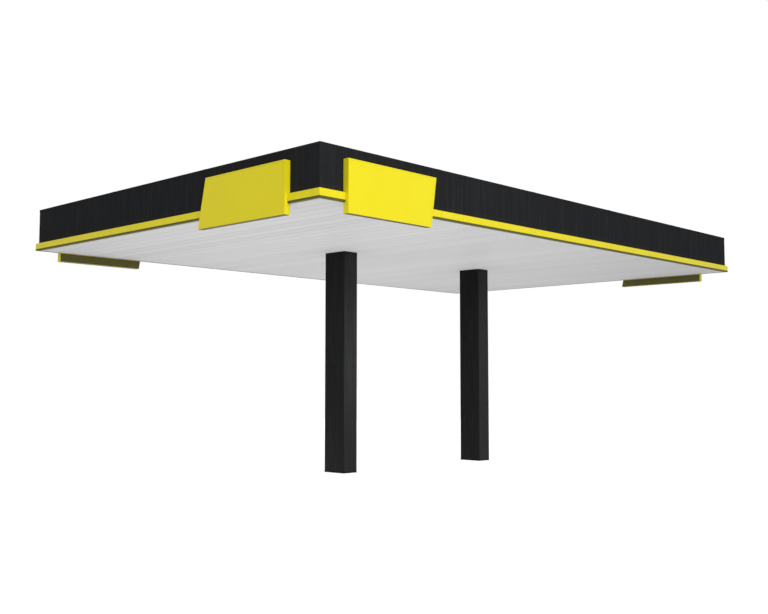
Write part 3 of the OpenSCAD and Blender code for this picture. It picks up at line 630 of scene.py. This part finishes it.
def blind_rivet():
    """The dome of a rivet 10 mm across, with the mark of its mandrel."""
    return round_head(10, radius=0.005, height=0.002, crown=0.62, rim=0.36, hollow=0.3)


coping_t, strap_t, strap_half, rivet_in, rivet_drop = 0.003, 0.002, 0.050, 0.014, 0.020
rivet_z = fascia_hi.z - rivet_drop
leg_out = coping_t + strap_t
places = []
for x in long_joints:
    for dx in (rivet_in - strap_half, strap_half - rivet_in):
        places += [((x + dx, fascia_lo.y - leg_out, rivet_z), (0, -1, 0)),
                   ((x + dx, fascia_hi.y + leg_out, rivet_z), (0, 1, 0))]
for y in short_joints:
    for dy in (rivet_in - strap_half, strap_half - rivet_in):
        places += [((fascia_lo.x - leg_out, y + dy, rivet_z), (-1, 0, 0)),
                   ((fascia_hi.x + leg_out, y + dy, rivet_z), (1, 0, 0))]
set_fixings("coping_rivets", blind_rivet(), places, fascia_black)

# The plain ones are counted from the middle of each flashing, with none over the gutter. The rows at the
# ends fall with the roof
side_hi, end_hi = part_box("side_flashings")[1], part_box("end_flashings")[1]
flashing_t, rivet_step, rivet_drop = 0.002, 0.480, 0.018
side_rivets, end_rivets = 15, 8
rivet_z = side_hi.z - rivet_drop
places = []
for i in range(-side_rivets, side_rivets + 1):
    for half in (-1, 1):
        places.append(((i * rivet_step, half * (side_hi.y - flashing_t), rivet_z), (0, -half, 0)))
for i in [n for n in range(-end_rivets, end_rivets + 1) if n]:
    for half in (-1, 1):
        drop = (side_hi.y - abs(i) * rivet_step) * math.tan(fall)
        places.append(((half * (end_hi.x - flashing_t), i * rivet_step, rivet_z - drop), (-half, 0, 0)))
set_fixings("flashing_rivets", blind_rivet(), places, stainless)

# Trim
# A hollow aluminium section runs round under the fascia, powder coated in a warm satin yellow that dulls
# in thin streaks where rain runs down it. Its lengths are sleeved together, and a thin bead of silicone,
# a shade duller than the coat, closes each joint.
yellow = new_material("satin_yellow_powder_coat")
at = add_node(yellow, "TexCoord", {}, {}).outputs["Object"]
wave = add_node(yellow, "TexNoise", {"Scale": 1 / 0.700, "Detail": 2}, {"Vector": at})
tone = add_node(yellow, "MixRGB", {"Color1": linear("#F1E012"), "Color2": linear("#F6E71B")}, {
    "Fac": wave.outputs["Fac"]})
drawn = add_node(yellow, "Mapping", {"Scale": (1 / 0.030, 1 / 0.030, 1 / 0.400)}, {"Vector": at})
streaks = add_node(yellow, "TexNoise", {"Scale": 1, "Detail": 4}, {"Vector": drawn.outputs["Vector"]})
film = add_node(yellow, "MapRange", {"From Min": 0.50, "From Max": 0.80, "To Max": 0.14}, {
    "Value": streaks.outputs["Fac"]})
tone = add_node(yellow, "MixRGB", {"Color2": linear("#8A8240")}, {
    "Fac": film.outputs["Result"], "Color1": tone.outputs["Color"]})
coat = add_node(yellow, "BsdfPrincipled", {"Roughness": 0.36, "IOR": 1.5, "Specular IOR Level": 0.2}, {
    "Base Color": tone.outputs["Color"]})
add_node(yellow, "OutputMaterial", {}, {"Surface": coat.outputs["BSDF"]})
paint_nodes([side + part for side in ("front", "back", "left", "right") for part in ("_trim", "_sign")],
            yellow)

# The lengths meet under the joints between the cassettes. A bead covers the gap on the nose and on top
trim_lo, trim_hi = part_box("left_trim")[0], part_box("right_trim")[1]
bead_half, bead_t, bead_in = 0.0030, 0.0006, 0.001
nose_r, closing_lip = 0.008, 0.034
sealant = new_material("gunned_silicone_sealant")
at = add_node(sealant, "TexCoord", {}, {}).outputs["Object"]
smear = add_node(sealant, "TexNoise", {"Scale": 1 / 0.020, "Detail": 3}, {"Vector": at})
tone = add_node(sealant, "MixRGB", {"Color1": linear("#B9AC26"), "Color2": linear("#CFC236")}, {
    "Fac": smear.outputs["Fac"]})
skin = add_node(sealant, "BsdfPrincipled", {"Roughness": 0.55, "Specular IOR Level": 0.3}, {
    "Base Color": tone.outputs["Color"]})
add_node(sealant, "OutputMaterial", {}, {"Surface": skin.outputs["BSDF"]})
beads = []
for joints, across_axis, edges in ((long_joints, 1, (trim_lo.y, trim_hi.y, fascia_lo.y, fascia_hi.y)),
                                   (short_joints, 0, (trim_lo.x, trim_hi.x, fascia_lo.x, fascia_hi.x))):
    for place in joints:
        for nose, face in ((edges[0], edges[2]), (edges[1], edges[3])):
            out = -1 if nose < 0 else 1
            nose_depth = (nose + out * bead_t, nose - out * bead_t)
            nose_rise = (clear_h + closing_lip, trim_hi.z - nose_r)
            top_depth = (nose - out * nose_r, face + out * bead_in)
            top_rise = (trim_hi.z - bead_t, trim_hi.z + bead_t)
            for depth, rise in ((nose_depth, nose_rise), (top_depth, top_rise)):
                low, high = [place - bead_half] * 2, [place + bead_half] * 2
                low[across_axis], high[across_axis] = sorted(depth)
                bead = bar_between((low[0], low[1], rise[0]), (high[0], high[1], rise[1]))
                apply_modifier(bead, "BEVEL", {"width": bead_t * 0.8, "segments": 1})
                beads.append(bead)
fit(join(beads), "trim_joint_beads", sealant)

# Closing strip
# A folded strip of coil coated sheet closes the underside of the trim from its nose inwards, and its lip
# turns up over the lower edge of the nose. Its dark olive is painted shade, the trim's yellow as it looks
# in the shadow underneath, and it draws a dark line under the yellow.
painted_shade_olive_coat = new_material("olive_sheet_painted_shade")
at = add_node(painted_shade_olive_coat, "TexCoord", {}, {}).outputs["Object"]
roller = add_node(painted_shade_olive_coat, "TexNoise", {"Scale": 1 / 0.090, "Detail": 4}, {"Vector": at})
tone = add_node(painted_shade_olive_coat, "MixRGB", {"Color1": linear("#56542E"), "Color2": linear("#626036")}, {
    "Fac": roller.outputs["Fac"]})
coat = add_node(painted_shade_olive_coat, "BsdfPrincipled", {"Roughness": 0.6, "IOR": 1.5, "Specular IOR Level": 0.1}, {
    "Base Color": tone.outputs["Color"]})
add_node(painted_shade_olive_coat, "OutputMaterial", {}, {"Surface": coat.outputs["BSDF"]})
closing_t, closing_wall, closing_leg = 0.002, 0.0018, 0.078
closing = flat_frame((trim_lo.x - closing_t, trim_lo.y - closing_t),
                     (trim_hi.x + closing_t, trim_hi.y + closing_t), clear_h - closing_t, closing_leg)
pick(closing, "EDGE", lambda a, b: (
    (abs(a.x) > trim_hi.x and abs(b.x) > trim_hi.x and a.x * b.x > 0)
    or (abs(a.y) > trim_hi.y and abs(b.y) > trim_hi.y and a.y * b.y > 0)))
bpy.ops.mesh.extrude_region_move(TRANSFORM_OT_translate={"value": (0, 0, closing_lip)})
bpy.ops.mesh.select_all(action="SELECT")
bpy.ops.mesh.normals_make_consistent(inside=False)
apply_modifier(closing, "SOLIDIFY", {"thickness": closing_wall, "offset": -1, "use_even_offset": True})
apply_modifier(closing, "BEVEL", {"width": 0.0005, "segments": 1})
fit(closing, "trim_closing_strip", painted_shade_olive_coat)

# Signs
# Each sign box has a stiff blank panel set in its frame, coated in the same yellow but a little glossier.
# Sheets close the box behind, below the trim, and underneath, coloured a dark olive that is painted
# shade, the yellow as it looks in shadow there. Small screws hold the frame to the returns.
sign_yellow = new_material("gloss_yellow_sign_panel")
at = add_node(sign_yellow, "TexCoord", {}, {}).outputs["Object"]
wave = add_node(sign_yellow, "TexNoise", {"Scale": 1 / 0.600, "Detail": 2}, {"Vector": at})
tone = add_node(sign_yellow, "MixRGB", {"Color1": linear("#F1E012"), "Color2": linear("#F6E71B")}, {
    "Fac": wave.outputs["Fac"]})
relief = add_node(sign_yellow, "Bump", {"Strength": 0.3, "Distance": 0.004}, {
    "Height": wave.outputs["Fac"]})
coat = add_node(sign_yellow, "BsdfPrincipled", {"Roughness": 0.3, "IOR": 1.5, "Specular IOR Level": 0.2}, {
    "Base Color": tone.outputs["Color"], "Normal": relief.outputs["Normal"]})
add_node(sign_yellow, "OutputMaterial", {}, {"Surface": coat.outputs["BSDF"]})
sign_depth, rim_w, rim_d = 0.120, 0.026, 0.006
panel_t, panel_gap = 0.003, 0.0015
back_t, back_in, back_below_trim = 0.002, 0.005, 0.012
foot_t, foot_in = 0.0015, 0.002
screw_rises, screws_in_row = (0.06, 0.33, 0.59, 0.86), 6
screw_in, screw_back = 0.060, 0.016
up = Vector((0, 0, 1))


def sheet_of(corners, thickness):
    """A stiff sheet on four corners, as thick as the given way and length, with eased edges."""
    bpy.ops.object.select_all(action="DESELECT")
    bpy.ops.mesh.primitive_plane_add(size=1)
    sheet = bpy.context.object
    for point, corner in zip(sheet.data.vertices, corners):
        point.co = corner
    pick(sheet, "FACE", lambda centre, normal: True)
    bpy.ops.mesh.extrude_region_move(TRANSFORM_OT_translate={"value": thickness})
    bpy.ops.mesh.select_all(action="SELECT")
    bpy.ops.mesh.normals_make_consistent(inside=False)
    apply_modifier(sheet, "BEVEL", {"width": thickness.length * 0.3, "segments": 2})
    return sheet


# Each row gives a box's side, the direction in which it faces, the way it runs from its upright end to
# the slanting one, and its width at the foot and at the top
signs = (
    ("front", Vector((0, -1, 0)), Vector((1, 0, 0)), 2.085, 2.225),
    ("back", Vector((0, 1, 0)), Vector((1, 0, 0)), 2.085, 2.225),
    ("left", Vector((-1, 0, 0)), Vector((0, 1, 0)), 2.405, 2.190),
    ("right", Vector((1, 0, 0)), Vector((0, 1, 0)), 2.405, 2.190),
)
for side, outward, run, foot_w, top_w in signs:
    low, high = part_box(side + "_sign")
    sign_h = high.z - low.z
    start = Vector([high[i] if outward[i] > 0 else low[i] for i in range(2)] + [low.z])
    slope = (top_w - foot_w) / sign_h

    def corners_at(inset, top, depth):
        """The corners of a sheet behind the face, inset from the foot and both ends, up to a height."""
        slant_inset = inset * math.hypot(1, slope)
        return [start + run * reach + up * rise - outward * depth for reach, rise in (
            (inset, inset), (foot_w + slope * inset - slant_inset, inset),
            (inset, top), (foot_w + slope * top - slant_inset, top))]

    inset = rim_w + panel_gap
    panel = sheet_of(corners_at(inset, sign_h - inset, rim_d), outward * panel_t)
    fit(panel, side + "_sign_panel", sign_yellow)
    # The back and foot sheets take the dark olive painted shade, the yellow as it looks in shadow
    back_top = clear_h - back_below_trim - low.z
    back = sheet_of(corners_at(back_in, back_top, sign_depth), outward * -back_t)
    fit(back, side + "_sign_back", painted_shade_olive_coat)
    foot = sheet_of([start + run * reach - outward * depth for depth in (foot_in, sign_depth - foot_in)
                     for reach in (foot_in, foot_w - foot_in)], up * -foot_t)
    fit(foot, side + "_sign_foot", painted_shade_olive_coat)
    slant_way = (run - up * slope).normalized()
    screw_line = start - outward * screw_back
    places = []
    for rise in screw_rises:
        places += [(screw_line + up * rise, -run),
                   (screw_line + run * (foot_w + slope * rise) + up * rise, slant_way)]
    for i in range(screws_in_row):
        for width, rise, way in ((foot_w, -foot_t, -up), (top_w, sign_h, up)):
            reach = screw_in + i * (width - 2 * screw_in) / (screws_in_row - 1)
            places.append((screw_line + run * reach + up * rise, way))
    set_fixings(side + "_sign_screws", pan_head(radius=0.005, height=0.002), places, stainless)

# Studio
# A pale floor and a white room, with a broad soft lamp at the front, a weaker one behind, one low on the
# right whose sheen falls on the casings alone, and one that stands for the light thrown back up by the
# ground. The background is white for the camera and in reflections.


def is_seen(owner):
    """1 for the rays of the camera, of reflections and of glass, and 0 for those that carry light."""
    ray = add_node(owner, "LightPath", {}, {})
    glossy = add_node(owner, "Math", {"operation": "MAXIMUM"}, {
        0: ray.outputs["Is Camera Ray"], 1: ray.outputs["Is Glossy Ray"]})
    seen = add_node(owner, "Math", {"operation": "MAXIMUM"}, {
        0: glossy.outputs["Value"], 1: ray.outputs["Is Transmission Ray"]})
    return seen.outputs["Value"]


bpy.ops.object.select_all(action="DESELECT")
bpy.ops.mesh.primitive_plane_add(size=400)
floor = bpy.context.object
floor.name = "floor"
paper = new_material("white_studio_floor")
matt = add_node(paper, "BsdfDiffuse", {"Color": linear("#E6E6E6")}, {})
glow = add_node(paper, "Emission", {"Color": linear("#FFFFFF"), "Strength": 0.62}, {})
both = add_node(paper, "AddShader", {}, {0: matt.outputs["BSDF"], 1: glow.outputs["Emission"]})
shown = add_node(paper, "MixShader", {}, {
    "Fac": is_seen(paper), 1: matt.outputs["BSDF"], 2: both.outputs["Shader"]})
add_node(paper, "OutputMaterial", {}, {"Surface": shown.outputs["Shader"]})
floor.data.materials.append(paper)

world = bpy.data.worlds.new("white_room")
bpy.context.scene.world = world
world.use_nodes = True
world.node_tree.nodes.clear()
level = add_node(world, "MapRange", {"To Min": 0.55, "To Max": 1.0}, {"Value": is_seen(world)})
room = add_node(world, "Background", {"Color": linear("#FFFFFF")}, {"Strength": level.outputs["Result"]})
add_node(world, "OutputWorld", {}, {"Surface": room.outputs["Background"]})


def soft_lamp(name, place, aim, width, height, watts):
    bpy.ops.object.light_add(type="AREA", location=place)
    lamp = bpy.context.object
    lamp.name = name
    lamp.rotation_euler = (Vector(aim) - Vector(place)).to_track_quat("-Z", "Y").to_euler()
    lamp.data.shape = "RECTANGLE"
    lamp.data.size, lamp.data.size_y = width, height
    lamp.data.energy = watts
    lamp.visible_camera = False
    return lamp


soft_lamp("lamp_front", (-13, -25, 13), (0, 0, 4), width=14, height=10, watts=2700)
soft_lamp("lamp_back", (15, 25, 13), (0, 0, 4), width=12, height=9, watts=1300)
posts_lamp = soft_lamp("lamp_posts", (34.5, -45.2, 4.0), (0, 0, 2.4), width=22, height=4.5, watts=5500)
ground_lamp = soft_lamp("lamp_ground", (-1.6, 0.5, 0.03), (-1.6, 0.5, 5), width=18, height=12, watts=322)
# It lies along the diagonal from the near corner, where the soffit is lightest
diagonal = math.radians(32)
ground_lamp.rotation_euler.rotate(Matrix.Rotation(diagonal, 3, "Z"))

# The low lamp is flagged off all but the casings, and the posts don't stop the light from the ground, so
# that the soffit stays even round them
column_parts = [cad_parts[side + part] for side in ("left", "right") for part in (
    "_casing_front", "_casing_back", "_column", "_casing_rings", "_downpipe")]
column_parts += [bpy.data.objects[side + part] for side in ("left", "right") for part in (
    "_casing_seals", "_casing_screws", "_casing_collar")]
lit_by_posts_lamp = bpy.data.collections.new("lit_by_posts_lamp")
clear_of_ground_lamp = bpy.data.collections.new("clear_of_ground_lamp")
for piece in column_parts:
    lit_by_posts_lamp.objects.link(piece)
    clear_of_ground_lamp.objects.link(piece)
for row in clear_of_ground_lamp.collection_objects:
    row.light_linking.link_state = "EXCLUDE"
posts_lamp.light_linking.receiver_collection = lit_by_posts_lamp
ground_lamp.light_linking.blocker_collection = clear_of_ground_lamp

# Camera
# It stands 2 m over the ground off the near corner and looks up a little, as in the photograph, whose
# empty white margin is left out so that the canopy fills the frame.
photo_focal_px = 312.9
enlargement = 3.15
image_w = 768
camera_place = Vector((-18.11, -16.26, 2.04))
camera_azimuth = math.radians(43.57)
camera_pitch = math.radians(4.34)
bpy.ops.object.camera_add(location=camera_place)
camera = bpy.context.object
camera.data.sensor_width = 36
camera.data.lens = photo_focal_px * enlargement * camera.data.sensor_width / image_w
camera.rotation_euler = (math.radians(90) + camera_pitch, 0, camera_azimuth - math.radians(90))
bpy.context.scene.camera = camera
bpy.context.scene.view_settings.view_transform = "Standard"
